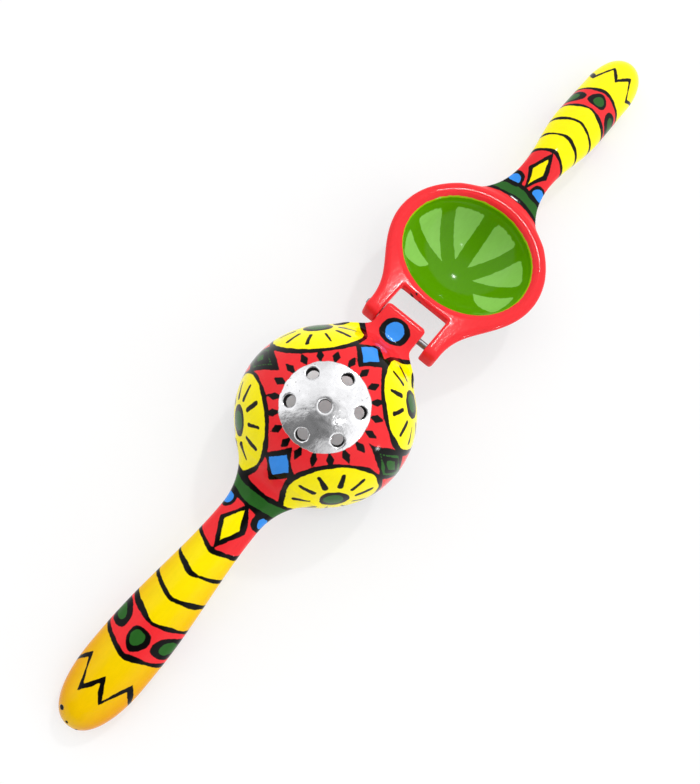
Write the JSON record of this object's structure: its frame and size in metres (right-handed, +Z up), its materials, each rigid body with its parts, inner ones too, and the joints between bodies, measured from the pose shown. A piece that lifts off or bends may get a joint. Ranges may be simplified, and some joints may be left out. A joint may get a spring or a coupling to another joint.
{
  "type": "hand lemon squeezer",
  "caption": "Painted cast hand citrus press: a perforated bowl lever and a domed press lever on one hinge pin, lying open and face down.",
  "frame": {"origin": "on the table under the hinge axis, midway between the two levers' middle planes", "axes": "+X along the levers from the bowl towards the press, +Y along the hinge pin, +Z up from the table"},
  "size_m": [0.4074, 0.0772, 0.0602],
  "materials": {
    "painted_bowl_lever": "hand-painted gloss enamel over cast aluminium, with a bare crown",
    "painted_press_lever": "hand-painted gloss enamel over cast aluminium",
    "steel_pin": "drawn steel"
  },
  "bodies": {
    "bowl_lever_body": {"bowl_lever": "painted_bowl_lever"},
    "press_lever_body": {"press_lever": "painted_press_lever", "hinge_pin": "steel_pin"}
  },
  "joints": [
    {"name": "squeeze_hinge", "type": "hinge", "parent": "bowl_lever_body", "child": "press_lever_body", "pos_m": [0, 0, 0.02924], "axis": [0, 1, 0], "range_deg": [-135, 161.6]}
  ]
}
